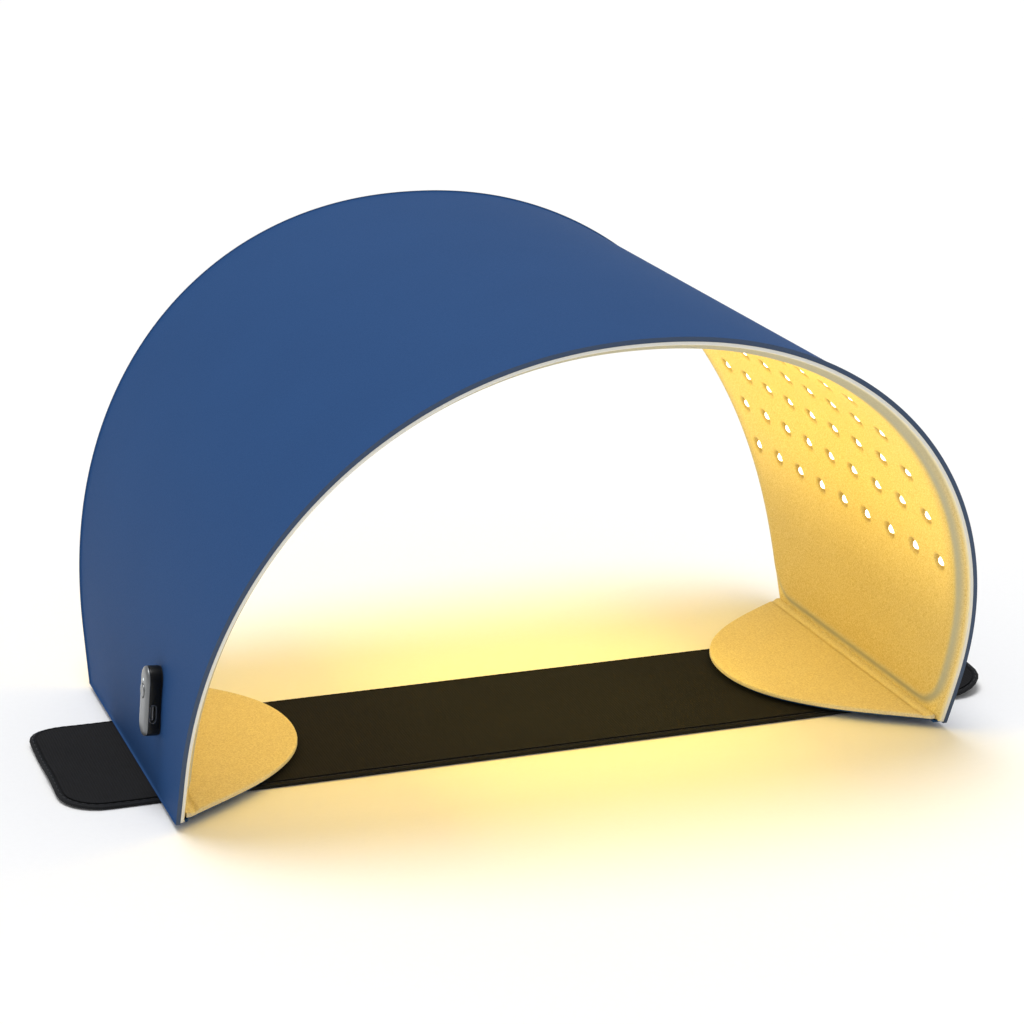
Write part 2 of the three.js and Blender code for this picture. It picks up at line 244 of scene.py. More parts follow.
@dataclass(frozen=True)
class LitSilicone(Finish):
    """Silicone that passes LED light: warm on its field and plain grey on its rim.

    Attributes of the piece say where its edge is, where painted shade lies on its raised border,
    in its dimples and on the wall below the LEDs, and how near the LEDs are.
    """

    rim: str = "#EAE9E2"
    # Painted shade on the field's raised step and on the margin near the crown.
    step: str = "#AEB3AE"
    # Painted shade in the dimples round each lens and on the wall below the LEDs.
    painted_shade: str = "#7D5F1E"
    glow: str = "#FFC83C"
    glow_strength: float = 0.3

    def paint(self, tree: Tree, shader: Node, colour: Socket) -> None:
        """Mixes in painted shade on the border and dimples, the rim's colour, and lights the LEDs'
        area.

        Args:
            tree: The material's nodes.
            shader: Its shader.
            colour: The plain silicone's colour.
        """
        for name, tone in (("step", self.step), ("painted_shade", self.painted_shade), ("rim", self.rim)):
            mask = add_node(tree, "ShaderNodeAttribute", {"attribute_name": name})
            base = add_node(tree, "ShaderNodeMix", {"data_type": "RGBA"}, {
                0: mask.outputs["Fac"], 6: colour, 7: linear(tone)})
            colour = base.outputs[2]
        near = add_node(tree, "ShaderNodeAttribute", {"attribute_name": "lit"})
        lit = add_node(tree, "ShaderNodeMix", {"data_type": "RGBA"}, {
            0: near.outputs["Fac"], 6: (0.0, 0.0, 0.0, 1.0), 7: linear(self.glow)})
        tree.links.new(base.outputs[2], shader.inputs["Base Color"])
        tree.links.new(lit.outputs[2], shader.inputs["Emission Color"])
        shader.inputs["Emission Strength"].default_value = self.glow_strength


@dataclass(frozen=True)
class Cloth(Finish):
    """Knitted, brushed or woven cloth: crossing rows of yarn with loose fibres over them."""

    run: Grain = Grain.EVEN

    def fine_pattern(self, tree: Tree, place: Socket) -> Socket:
        """Rows of yarn along X and Y, broken up by fibres that run the way run says.

        Args:
            tree: The material's nodes.
            place: Object coordinates.

        Returns:
            The pattern's height.
        """
        rows = [add_node(tree, "ShaderNodeTexWave", {"bands_direction": way}, {
            "Vector": place, "Scale": 0.314 / self.grain, "Distortion": 0.8,
            "Detail Scale": 1.5}).outputs["Fac"] for way in ("X", "Y")]
        weave = add_node(tree, "ShaderNodeMath", {"operation": "MULTIPLY"}, {
            0: rows[0], 1: rows[1]})
        combed = add_node(tree, "ShaderNodeMapping", inputs={
            "Vector": place, "Scale": self.run.value})
        fibres = add_node(tree, "ShaderNodeTexNoise", inputs={
            "Vector": combed.outputs[0], "Scale": 1.6 / self.grain, "Detail": 4.0})
        both = add_node(tree, "ShaderNodeMath", {"operation": "ADD"}, {
            0: weave.outputs[0], 1: fibres.outputs[0]})
        return add_node(tree, "ShaderNodeMath", {"operation": "MULTIPLY"}, {
            0: both.outputs[0], 1: 0.62}).outputs[0]


@dataclass(frozen=True)
class Brushed(Finish):
    """Metal with fine lines along one direction."""

    run: Grain = Grain.ALONG_Y

    def fine_pattern(self, tree: Tree, place: Socket) -> Socket:
        """Noise stretched to lines.

        Args:
            tree: The material's nodes.
            place: Object coordinates.

        Returns:
            The pattern's height.
        """
        combed = add_node(tree, "ShaderNodeMapping", inputs={
            "Vector": place, "Scale": self.run.value})
        return add_node(tree, "ShaderNodeTexNoise", inputs={
            "Vector": combed.outputs[0], "Scale": 1 / self.grain, "Detail": 3.0}).outputs[0]


@dataclass(frozen=True)
class Cells(Finish):
    """A surface of small raised cells: hook tape, or the tracks and pads of a circuit."""

    def fine_pattern(self, tree: Tree, place: Socket) -> Socket:
        """Distance to the nearest cell's middle, turned to a height.

        Args:
            tree: The material's nodes.
            place: Object coordinates.

        Returns:
            The pattern's height.
        """
        cell = add_node(tree, "ShaderNodeTexVoronoi", inputs={
            "Vector": place, "Scale": 1 / self.grain, "Randomness": 0.35})
        return add_node(tree, "ShaderNodeMapRange", inputs={
            "Value": cell.outputs["Distance"], "From Max": 0.6,
            "To Min": 1.0, "To Max": 0.2}).outputs[0]


@dataclass(frozen=True)
class Lens(Finish):
    """Clear moulded silicone lens, lit from behind."""

    light: str = "#FFF6DC"
    strength: float = 5.0

    def paint(self, tree: Tree, shader: Node, colour: Socket) -> None:
        """Adds the light to the lens's own colour."""
        tree.links.new(colour, shader.inputs["Base Color"])
        shader.inputs["Emission Color"].default_value = linear(self.light)
        shader.inputs["Emission Strength"].default_value = self.strength


@functools.cache
def made(finish: Finish) -> bpy.types.Material:
    """The finish's material, made once."""
    return finish.build()


# Liquid silicone from a bead-blasted mould: matte, with a soft grain. Its real grain is about
# 0.15 mm, drawn at 0.7 mm so that it shows.
SKIN = LitSilicone("silicone_skin_blasted_mould", "#294F82", "#244777", 0.66, 0.7 * MM,
                   0.09 * MM, cloud=90 * MM, ior=1.41, specular=0.14, rim="#46556E",
                   glow_strength=0.0)
# The same silicone filled white, with a sandy mould texture of about 0.4 mm, drawn at 0.75 mm.
LINING = LitSilicone("silicone_lining_sandy_mould", "#F4E2A8", "#D3BB74", 0.74, 0.75 * MM,
                     0.4 * MM, cloud=70 * MM, ior=1.41, specular=0.25, contrast=2.2)
# Thin rolled polypropylene: dark, with long faint rolling lines.
CORE = Brushed("polypropylene_sheet_rolled", "#2B2E32", "#23262A", 0.55, 1.2 * MM, 0.02 * MM,
               ior=1.49)
# Flexible circuit with a white solder mask: satin, with the tracks showing as low ridges.
BOARD = Cells("polyimide_circuit_white_mask", "#ECE8DC", "#D6CFBD", 0.42, 6 * MM, 0.03 * MM,
              ior=1.5)
# Optical silicone moulded in a polished mould: clear, smooth and lit.
LENS = Lens("optical_silicone_polished_mould", "#FFFDF4", "#FFF3D0", 0.22, 2 * MM, 0.01 * MM,
            ior=1.41)
# Nylon hook tape: rows of stiff hooks 1.2 mm apart.
HOOK = Cells("nylon_hook_tape_woven", "#26272B", "#151619", 0.6, 1.2 * MM, 0.35 * MM, ior=1.53)
# Neoprene with a knitted nylon face: the real rows are 0.5 mm apart, drawn at 1.1 mm.
NEOPRENE = Cloth("neoprene_nylon_knitted", "#2A2B2D", "#1E1F21", 0.82, 1.1 * MM, 0.12 * MM,
                 ior=1.5, specular=0.12)
# Loop pile, brushed across the strap, which gives a soft nap; drawn at 1.3 mm.
LOOP = Cloth("polyester_loop_brushed", "#262627", "#1F1F20", 0.9, 1.3 * MM, 0.12 * MM,
             ior=1.5, specular=0.08, run=Grain.ALONG_Y)
# Folded binding tape of twill: tighter and a little smoother than the knit.
BINDING = Cloth("polyester_binding_twill", "#1A1B1E", "#101113", 0.66, 0.9 * MM, 0.12 * MM,
                ior=1.5, specular=0.2)
# Bonded sewing thread, twisted: a slight shine on black.
THREAD = Cloth("polyester_thread_twisted", "#222327", "#15161A", 0.5, 0.5 * MM, 0.08 * MM,
               ior=1.5)
# Foam rubber, die cut: dull, with fine pores.
FOAM = Cells("foam_rubber_die_cut", "#1C1D1E", "#0F1011", 0.9, 0.5 * MM, 0.1 * MM, ior=1.5)
# ABS from a polished mould: dark and glossy, with faint handling marks.
HOUSING = Finish("abs_polished_mould", "#101112", "#0A0B0C", 0.3, 0.9 * MM, 0.006 * MM,
                 cloud=12 * MM, ior=1.54, specular=0.16)
# ABS with a metallic satin paint: silver-grey with small flakes.
CAP = Finish("abs_satin_painted", "#858788", "#6C6E6F", 0.33, 0.25 * MM, 0.008 * MM,
             cloud=9 * MM, ior=1.5, metallic=0.6, coat=0.2)
# The button is the same paint, rubbed smoother where a finger rests.
BUTTON = Finish("abs_satin_painted_button", "#868889", "#6E7071", 0.3, 0.25 * MM, 0.006 * MM,
                cloud=5 * MM, ior=1.5, metallic=0.6, coat=0.2)
# Stamped stainless and nickel-plated steel: lines from the rolling.
STEEL = Brushed("stainless_steel_stamped", "#B4B6B9", "#8F9296", 0.3, 0.3 * MM, 0.01 * MM,
                cloud=6 * MM, metallic=1.0)
# Zinc-plated machine screws: greyer, with a mottled plating.
ZINC = Finish("steel_zinc_plated", "#A9ACAF", "#84888C", 0.36, 0.35 * MM, 0.02 * MM,
              cloud=3 * MM, metallic=1.0)
# Glass-fibre board under green solder mask, with tracks.
BOARD_GREEN = Cells("fr4_green_solder_mask", "#23683F", "#174A2C", 0.35, 1.1 * MM, 0.03 * MM,
                    cloud=6 * MM, ior=1.55, coat=0.3)
# Polyimide ribbon: amber and satin, with its tracks as lines.
FILM = Brushed("polyimide_ribbon_laminated", "#B5702E", "#8E5420", 0.38, 0.6 * MM, 0.03 * MM,
               cloud=8 * MM, ior=1.6)
# Clear acrylic light guide, moulded.
ACRYLIC = Lens("acrylic_light_guide_moulded", "#F2F5F6", "#DDE6EA", 0.15, 1 * MM, 0.004 * MM,
               ior=1.49, light="#DFF4FF", strength=0.4)
# Glass-filled nylon tongue of the socket: grey, with contact pads as small cells.
TONGUE = Cells("nylon_socket_tongue_moulded", "#A9A9A6", "#6E6E6C", 0.45, 0.5 * MM, 0.04 * MM,
               cloud=3 * MM, ior=1.53)
# Seamless matte paper under the object.
PAPER = Finish("paper_seamless_matte", "#FAFAFA", "#F7F7F7", 0.75, 3 * MM, 0.01 * MM,
               cloud=400 * MM)


# ---------------------------------------------------------------- mesh tools


def coordinates(bm: BMesh) -> np.ndarray:
    """The places of all the vertices as an (n, 3) array."""
    return np.array([v.co for v in bm.verts], float).reshape(-1, 3)


def everything(bm: BMesh) -> list:
    """All the vertices, edges and faces."""
    return [*bm.verts, *bm.edges, *bm.faces]


def only(kind: type, geom: Iterable) -> list:
    """The vertices or the edges among mixed geometry."""
    return [g for g in geom if isinstance(g, kind)]


def reshape(bm: BMesh, place: Callable[[np.ndarray], np.ndarray]) -> None:
    """Moves every vertex.

    Args:
        bm: The shape.
        place: Turns the (n, 3) array of places to the new ones.
    """
    for vert, co in zip(bm.verts, place(coordinates(bm))):
        vert.co = co


def repeat(bm: BMesh, places: Iterable[Matrix]) -> None:
    """Puts a copy of a whole shape at each place and takes the first one away.

    Args:
        bm: The shape, around the origin.
        places: Where its copies go.
    """
    first = everything(bm)
    for place in places:
        copy = bmesh.ops.duplicate(bm, geom=first)["geom"]
        bmesh.ops.transform(bm, matrix=place, verts=only(BMVert, copy))
    bmesh.ops.delete(bm, geom=only(BMVert, first))


def flat_blank(
    columns: np.ndarray, halves: np.ndarray, edge_rows: Sequence[float], middle: int,
) -> BMesh:
    """A flat grid whose outer rows keep a set distance from its front and back edges.

    Args:
        columns: Places of the columns along the sheet.
        halves: Half of the sheet's width at each column.
        edge_rows: Distances of the outer rows from the edge, from 0 inwards.
        middle: How many rows lie between them.

    Returns:
        The grid, columns along X and rows along Y.
    """
    near = -halves[:, None] + np.array(edge_rows)[None, :]
    share = np.linspace(0, 1, middle + 2)[1:-1][None, :]
    rows = np.hstack([near, near[:, -1:] * (1 - 2 * share), -near[:, ::-1]])
    bm = bmesh.new()
    bmesh.ops.create_grid(
        bm, x_segments=len(columns) - 1, y_segments=rows.shape[1] - 1, size=0.5)

    def place(co: np.ndarray) -> np.ndarray:
        """Finds each vertex's column and row."""
        i = np.rint((co[:, 0] + 0.5) * (len(columns) - 1)).astype(int)
        j = np.rint((co[:, 1] + 0.5) * (rows.shape[1] - 1)).astype(int)
        return np.column_stack([columns[i], rows[i, j], np.zeros(len(co))])

    reshape(bm, place)
    return bm


def thicken(bm: BMesh) -> None:
    """Closes a flat grid to a sheet: its face stays at z = 0 and its back goes to z = 1."""
    grown = bmesh.ops.extrude_face_region(bm, geom=list(bm.faces), use_keep_orig=True)
    bmesh.ops.translate(bm, verts=only(BMVert, grown["geom"]), vec=(0, 0, 1))


def set_heights(bm: BMesh, face: HeightMap, back: HeightMap) -> list:
    """Gives a thickened sheet its real heights.

    Args:
        bm: The sheet from thicken.
        face: Heights of its face.
        back: Heights of its back.

    Returns:
        The edges between its face and its side walls.
    """
    at_back = {v for v in bm.verts if v.co.z > 0.5}
    walls = {f for f in bm.faces if 0 < sum(v in at_back for v in f.verts) < len(f.verts)}
    rims = [e for e in bm.edges if len(e.link_faces) == 2 and not at_back & set(e.verts)
            and (e.link_faces[0] in walls) != (e.link_faces[1] in walls)]

    def place(co: np.ndarray) -> np.ndarray:
        """Puts each vertex at its side's height."""
        u, y = co[:, 0], co[:, 1]
        return np.column_stack([u, y, np.where(co[:, 2] > 0.5, back(u, y), face(u, y))])

    reshape(bm, place)
    return rims


def mark(bm: BMesh, name: str, share: Share) -> None:
    """Stores a share at every vertex, for a finish to read.

    Args:
        bm: The shape.
        name: The attribute's name.
        share: Gives the shares from the places along X, Y and Z.
    """
    layer = bm.verts.layers.float.new(name)
    for vert, value in zip(bm.verts, share(*coordinates(bm).T)):
        vert[layer] = float(value)


def round_edges(bm: BMesh, edges: Iterable, radius: float, segments: int = 3) -> None:
    """Rounds edges.

    Args:
        bm: The shape.
        edges: Its edges to round.
        radius: Their radius.
        segments: How many steps round each.
    """
    bmesh.ops.bevel(bm, geom=list(edges), offset=radius, segments=segments, profile=0.5,
                    affect="EDGES", clamp_overlap=True, material=-1)


def trim_start(bm: BMesh) -> None:
    """Cuts away what lies before x = 0 and closes the cut."""
    cut_line = bmesh.ops.bisect_plane(bm, geom=everything(bm), dist=1e-6, plane_co=(0, 0, 0),
                                      plane_no=(1, 0, 0), clear_inner=True)["geom_cut"]
    bmesh.ops.contextual_create(bm, geom=only(BMEdge, cut_line))


def lofted(rings: Sequence[np.ndarray], closed: bool = False) -> BMesh:
    """A solid through rings of points, made by extruding one ring on to the next.

    Args:
        rings: Rings with the same number of points each.
        closed: True to join the last ring to the first, and False to cap both ends.

    Returns:
        The solid.
    """
    bm = bmesh.new()
    start = bmesh.ops.create_circle(
        bm, cap_ends=not closed, cap_tris=False, segments=len(rings[0]), radius=1.0)["verts"]
    for vert, co in zip(start, rings[0]):
        vert.co = co
    first = list(bm.edges)
    last_edges, last = first, list(start)
    for ring in rings[1:]:
        grown = bmesh.ops.extrude_edge_only(bm, edges=last_edges)["geom"]
        fresh = set(only(BMVert, grown))
        last = [next(e.other_vert(vert) for e in vert.link_edges if e.other_vert(vert) in fresh)
                for vert in last]
        for vert, co in zip(last, ring):
            vert.co = co
        last_edges = [e for e in only(BMEdge, grown) if fresh.issuperset(e.verts)]
    if closed:
        bmesh.ops.bridge_loops(bm, edges=first + last_edges)
    else:
        bmesh.ops.contextual_create(bm, geom=last_edges)
    return bm


def circle_ring(radius: float, count: int) -> np.ndarray:
    """Points of a circle as (count, 2)."""
    turn = np.linspace(0, 2 * math.pi, count, endpoint=False)
    return np.column_stack([np.cos(turn), np.sin(turn)]) * radius


def stadium_ring(width: float, height: float, count: int) -> np.ndarray:
    """Points of a straight-sided ring with half-round ends, height along Y.

    Args:
        width: Its width.
        height: Its height.
        count: How many points it has.

    Returns:
        The points as (count, 2).
    """
    radius = width / 2
    straight = height / 2 - radius
    turn = (np.arange(count) + 0.5) * 2 * math.pi / count
    return np.column_stack([
        radius * np.cos(turn), radius * np.sin(turn) + straight * np.sign(np.sin(turn))])


def rectangle_ring(length: float, width: float, radius: float, steps: int = 7) -> np.ndarray:
    """Points of a rounded rectangle, length along X.

    Args:
        length: Its length.
        width: Its width.
        radius: Its corner radius.
        steps: Points in each corner.

    Returns:
        The points as (n, 2).
    """
    points = []
    for turn, (sx, sy) in enumerate([(1, 1), (-1, 1), (-1, -1), (1, -1)]):
        for angle in np.linspace(0, math.pi / 2, steps) + turn * math.pi / 2:
            points.append((sx * (length / 2 - radius) + radius * math.cos(angle),
                           sy * (width / 2 - radius) + radius * math.sin(angle)))
    return np.array(points)


def spread_ring(ring: np.ndarray, count: int = 0, spacing: float = 1 * MM) -> np.ndarray:
    """The same closed ring with its points spaced evenly.

    Args:
        ring: Its points as (n, 2).
        count: How many points it gets, or 0 to go by the spacing.
        spacing: Distance from one point to the next.

    Returns:
        The new points.
    """
    loop = np.vstack([ring, ring[:1]])
    run = np.concatenate([[0], np.cumsum(np.linalg.norm(np.diff(loop, axis=0), axis=1))])
    places = np.linspace(0, run[-1], count or int(round(run[-1] / spacing)), endpoint=False)
    return np.column_stack([np.interp(places, run, loop[:, k]) for k in (0, 1)])


def at_height(ring: np.ndarray, height: float | np.ndarray) -> np.ndarray:
    """A flat ring as 3-D points at a height."""
    return np.column_stack([ring, np.broadcast_to(height, len(ring))])


def cut(bm: BMesh, cutters: Sequence[BMesh]) -> BMesh:
    """Cuts solids out of a solid.

    Args:
        bm: The solid, which is used up.
        cutters: The solids to take away, which are used up too.

    Returns:
        What is left.
    """
    body = as_object("cut_body", bm)
    tools = [as_object("cut_tool", tool) for tool in cutters]
    for tool in tools:
        step = body.modifiers.new("cut", "BOOLEAN")
        step.operation = "DIFFERENCE"
        step.solver = "EXACT"
        step.object = tool
    bpy.context.view_layer.update()
    result = bmesh.new()
    result.from_object(body, bpy.context.evaluated_depsgraph_get())
    for used in (body, *tools):
        bpy.data.meshes.remove(used.data)
    bmesh.ops.remove_doubles(result, verts=result.verts, dist=1e-7)
    return result


def stand(name: str, data: bpy.types.ID) -> bpy.types.Object:
    """Puts a mesh, a light or a camera in the scene."""
    obj = bpy.data.objects.new(name, data)
    bpy.context.scene.collection.objects.link(obj)
    return obj


def as_object(name: str, bm: BMesh) -> bpy.types.Object:
    """Makes a scene object of a bmesh, with its faces outwards.

    Args:
        name: The object's name.
        bm: Its shape, which is used up.

    Returns:
        The object.
    """
    bm.normal_update()
    bmesh.ops.recalc_face_normals(bm, faces=bm.faces)
    mesh = bpy.data.meshes.new(name)
    bm.to_mesh(mesh)
    bm.free()
    return stand(name, mesh)


def piece(
    name: str, bm: BMesh, finish: Finish,
    nodes: Sequence[str] = (), sharp: float = 38.0,
) -> bpy.types.Object:
    """Turns a bmesh into a dressed piece of the object.

    Args:
        name: The piece's name.
        bm: Its shape, in the frame's place.
        finish: Its finish.
        nodes: The frame's nodes that it stands for.
        sharp: Edges that turn more than this many degrees stay sharp.

    Returns:
        The object, not riding on a body yet.
    """
    obj = as_object(name, bm)
    obj.data.shade_smooth()
    obj.data.set_sharp_from_angle(angle=math.radians(sharp))
    obj.data.materials.append(made(finish))
    if nodes:
        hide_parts(*nodes)
    LOG.info("%s: %d faces, %s", name, len(obj.data.polygons), finish.name)
    return obj


# ---------------------------------------------------------------- arch


@dataclass(frozen=True)
class Arch:
    """The arch's outer face, and how flat sheets bend on to it.

    Distances run along the arch from the middle of its crown, negative to the left.

    Attributes:
        half_span: Half of its width.
        crown_height: Height of its crown.
        base: Height of its feet.
        crown_half_depth: Half of its depth at the crown.
        foot_half_depth: Half of its depth at the feet.
        wall_top: Height at which the straight walls start to curve.
        exponent: Roundness of the curve, 2 for an ellipse.
        edge_exponent: How late the front and back edges draw in.
        wall_share: Share of the curve's parameter in each straight wall.
    """

    half_span: float
    crown_height: float
    base: float
    crown_half_depth: float
    foot_half_depth: float
    wall_top: float = 28 * MM
    exponent: float = 2.12
    edge_exponent: float = 2.2
    wall_share: float = 0.04

    @classmethod
    def from_frame(cls) -> "Arch":
        """Reads the arch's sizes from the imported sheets.

        Returns:
            The arch.
        """
        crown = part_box("outer_cover_crown")[1]
        return cls(
            half_span=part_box("outer_cover_right")[1].x, crown_height=crown.z,
            base=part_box("outer_cover_left")[0].z, crown_half_depth=crown.y,
            foot_half_depth=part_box("flap_lining_left")[1].y + 2 * MM)

    def curve(self, share: np.ndarray) -> np.ndarray:
        """Points on the arch.

        Args:
            share: Shares of the way from 0, the left foot, to 1, the right foot.

        Returns:
            The points as (x, z).
        """
        angle = math.pi * np.clip((share - self.wall_share) / (1 - 2 * self.wall_share), 0, 1)
        power = 2 / self.exponent
        across = -np.sign(np.cos(angle)) * np.abs(np.cos(angle)) ** power
        up = np.maximum(np.sin(angle), 0) ** power
        low = np.clip(np.minimum(share, 1 - share) / self.wall_share, 0, 1)
        z = self.wall_top + (self.crown_height - self.wall_top) * up
        z = z - (self.wall_top - self.base) * (1 - low)
        return np.column_stack([self.half_span * across, z])

    @functools.cached_property
    def lengths(self) -> tuple[np.ndarray, np.ndarray]:
        """Shares along the curve, and the length reached at each."""
        share = np.linspace(0, 1, 4001)
        steps = np.linalg.norm(np.diff(self.curve(share), axis=0), axis=1)
        return share, np.concatenate([[0], np.cumsum(steps)])

    @property
    def half_arc(self) -> float:
        """Length from the crown's middle to a foot."""
        return float(self.lengths[1][-1] / 2)

    def at(self, distance: np.ndarray) -> tuple[np.ndarray, np.ndarray, np.ndarray]:
        """Points on the face, and the directions along it and outwards.

        Args:
            distance: Distances from the crown's middle.

        Returns:
            Points, directions along the arch and directions outwards, each as (x, z).
        """
        share, run = self.lengths
        step = 0.0005 * run[-1]
        place = np.asarray(distance, float) + self.half_arc
        points = [self.curve(np.interp(np.clip(p, 0, run[-1]), run, share))
                  for p in (place - step, place, place + step)]
        along = points[2] - points[0]
        along = along / np.linalg.norm(along, axis=1)[:, None]
        return points[1], along, np.column_stack([-along[:, 1], along[:, 0]])

    def half_depth(self, distance: np.ndarray) -> np.ndarray:
        """Half of the panel's depth at distances from the crown's middle."""
        reach = np.clip(np.abs(distance) / self.half_arc, 0, 1)
        narrowing = self.crown_half_depth - self.foot_half_depth
        return self.crown_half_depth - narrowing * reach ** self.edge_exponent

    def wrap(self, co: np.ndarray) -> np.ndarray:
        """Bends flat points (distance, y, height outwards) on to the arch."""
        point, _, outward = self.at(co[:, 0])
        bent = point + outward * co[:, 2:3]
        return np.column_stack([bent[:, 0], co[:, 1], bent[:, 1]])


# ---------------------------------------------------------------- panel


@dataclass(frozen=True)
class Layer:
    """One plain sheet of the panel. outer and inner are distances inwards from the arch's face."""

    name: str
    node: str
    slot: str
    finish: Finish
    outer: float
    inner: float
    edge_inset: float = 0.0
    foot_inset: float = 0.0
    radius: float = 0.0


@dataclass(frozen=True)
class Panel:
    """The lit panel: skin, core, LED board, lining and lenses, in a left and a right half.

    Each half is bent on to the arch from the crown's middle.
    """

    arch: Arch
    pitch_count: int = 13
    lit_rows: int = 10
    led_columns: int = 9
    margin: float = 4.7 * MM
    field: float = 6.3 * MM
    field_edge: float = 6.5 * MM
    field_foot: float = 8 * MM
    field_corner: float = 15 * MM
    field_slope: float = 4.2 * MM
    lining_back: float = 3.4 * MM
    rim_back: float = 1.3 * MM
    rim_radius: float = 0.8 * MM
    rim_thinning: float = 1.8 * MM
    rim_reach: float = 6 * MM
    foot_clear: float = 1.1 * MM
    dimple_radius: float = 5.2 * MM
    dimple_floor: float = 2.5 * MM
    dimple_depth: float = 1.8 * MM
    lens_radius: float = 2.2 * MM
    bend_reach: float = 180 * MM

    @property
    def pitch(self) -> float:
        """Distance from one LED to the next."""
        return self.arch.half_arc / self.pitch_count

    @property
    def lit_end(self) -> float:
        """Distance from the crown's middle to the end of the LED rows."""
        return self.lit_rows * self.pitch

    def from_edge(self, u: np.ndarray, y: np.ndarray) -> np.ndarray:
        """Distance from flat points to the panel's front or back edge."""
        return self.arch.half_depth(u) - np.abs(y)

    def layers(self) -> list[Layer]:
        """The plain sheets.

        Returns:
            The sheets from the outside in.
        """
        return [
            Layer("outer_skin", "outer_cover", "blue_skin", SKIN, 0, 1.2 * MM, radius=0.85 * MM),
            Layer("arch_core", "shape_core", "shape_core", CORE, 1.5 * MM, 2.3 * MM,
                  edge_inset=4 * MM, foot_inset=self.foot_clear),
            Layer("circuit_film", "led_board", "led_board", BOARD, 2.6 * MM, 3.2 * MM,
                  edge_inset=4 * MM, foot_inset=self.foot_clear),
        ]

    def led_places(self) -> np.ndarray:
        """The LEDs of one half as (distance, y), on the right."""
        rows = (np.arange(self.lit_rows) + 0.5) * self.pitch
        columns = (np.arange(self.led_columns) - (self.led_columns - 1) / 2) * self.pitch
        return np.array([(row, column) for row in rows for column in columns])

    def lamp_distance(self, u: np.ndarray, y: np.ndarray) -> np.ndarray:
        """Distance from flat points to the nearest LED.

        Args:
            u: Distances from the crown's middle.
            y: Places along the tunnel.

        Returns:
            The distances.
        """
        row = np.clip(np.rint(u / self.pitch - 0.5), 0, self.lit_rows - 1)
        reach = (self.led_columns - 1) / 2
        column = np.clip(np.rint(y / self.pitch), -reach, reach)
        return np.hypot(u - (row + 0.5) * self.pitch, y - column * self.pitch)

    def inside_field(self, u: np.ndarray, y: np.ndarray) -> np.ndarray:
        """How far flat points lie inside the raised field's rounded border.

        Args:
            u: Distances from the crown's middle.
            y: Places along the tunnel.

        Returns:
            The distances, below 0 on the margin.
        """
        across = self.from_edge(u, y) - self.field_edge
        down = self.arch.half_arc - u - self.field_foot
        corner = self.field_corner - np.hypot(
            np.maximum(self.field_corner - across, 0), np.maximum(self.field_corner - down, 0))
        return np.where((across < self.field_corner) & (down < self.field_corner),
                        corner, np.minimum(across, down))

    def border(self, u: np.ndarray, y: np.ndarray) -> np.ndarray:
        """How grey the lining is with painted shade: on the field's step, and on the margin near the
        crown, where the LED light does not reach.

        Args:
            u: Distances from the crown's middle.
            y: Places along the tunnel.

        Returns:
            The shares.
        """
        field = self.inside_field(u, y)
        step = 0.85 * np.exp(-(field / (2.6 * MM)) ** 2)
        margin = (1 - smooth(field, -1 * MM, 8 * MM)) * (1 - smooth(u, 150 * MM, 250 * MM))
        return np.maximum(step, 0.75 * margin)

    def painted_shade(self, u: np.ndarray, y: np.ndarray) -> np.ndarray:
        """Painted shade on the lining round each lens, in its dimple."""
        return 0.85 * np.exp(-((self.lamp_distance(u, y) - 3.3 * MM) / (1.3 * MM)) ** 2)

    def unlit_shade(self, u: np.ndarray, y: np.ndarray) -> np.ndarray:
        """Painted shade on the lining's field below the LEDs, where their light does not reach."""
        below = smooth(u, self.lit_end - 25 * MM, self.lit_end + 30 * MM)
        return 0.18 * below * smooth(self.inside_field(u, y), 0, 6 * MM)

    def lit(self, u: np.ndarray, y: np.ndarray) -> np.ndarray:
        """How much LED light the lining passes: most among the LEDs, fading past them.

        Args:
            u: Distances from the crown's middle.
            y: Places along the tunnel.

        Returns:
            The shares.
        """
        inside = smooth(self.inside_field(u, y), 0, 14 * MM)
        past = smooth(u, self.lit_end - 45 * MM, self.lit_end + 35 * MM)
        return inside * (1 - past) * (1 - self.painted_shade(u, y))

    def lining_face(self, u: np.ndarray, y: np.ndarray) -> np.ndarray:
        """Heights of the lining: a thin rim, a margin, a raised field and a dimple at each LED.

        Args:
            u: Distances from the crown's middle.
            y: Places along the tunnel.

        Returns:
            The heights outwards from the arch's face, below 0.
        """
        raised = smooth(self.inside_field(u, y), -self.field_slope / 2, self.field_slope / 2)
        dimple = 1 - smooth(self.lamp_distance(u, y), self.dimple_floor, self.dimple_radius)
        thin = self.rim_thinning * (1 - smooth(self.from_edge(u, y), 0.5 * MM, self.rim_reach))
        height = -self.margin - (self.field - self.margin) * raised + self.dimple_depth * dimple
        return height + thin

    def lining_reverse(self, u: np.ndarray, y: np.ndarray) -> np.ndarray:
        """Heights of the lining's back, which comes out to the skin at the rim."""
        share = smooth(self.from_edge(u, y), 2.6 * MM, 3.8 * MM)
        return -self.rim_back - (self.lining_back - self.rim_back) * share

    def build_layer(self, side: Side, layer: Layer) -> bpy.types.Object:
        """Builds one plain sheet of one half.

        Args:
            side: Which half.
            layer: Which sheet.

        Returns:
            The piece.
        """
        columns = np.linspace(0, self.arch.half_arc - layer.foot_inset, 97)
        columns = np.concatenate([[-columns[1]], columns])
        halves = self.arch.half_depth(columns) - layer.edge_inset
        bm = flat_blank(columns, halves, (0, 1.2 * MM, 3 * MM), 40)
        thicken(bm)
        rims = set_heights(bm, lambda u, y: np.full(len(u), -layer.outer),
                           lambda u, y: np.full(len(u), -layer.inner))
        if layer.radius:
            round_edges(bm, rims, layer.radius)
            mark(bm, "rim", lambda u, y, z: 1 - smooth(
                self.from_edge(u, y), 0.01 * MM, 0.1 * MM))
        trim_start(bm)
        return self.place(side, bm, layer.name, layer.finish, layer.slot, layer.node)

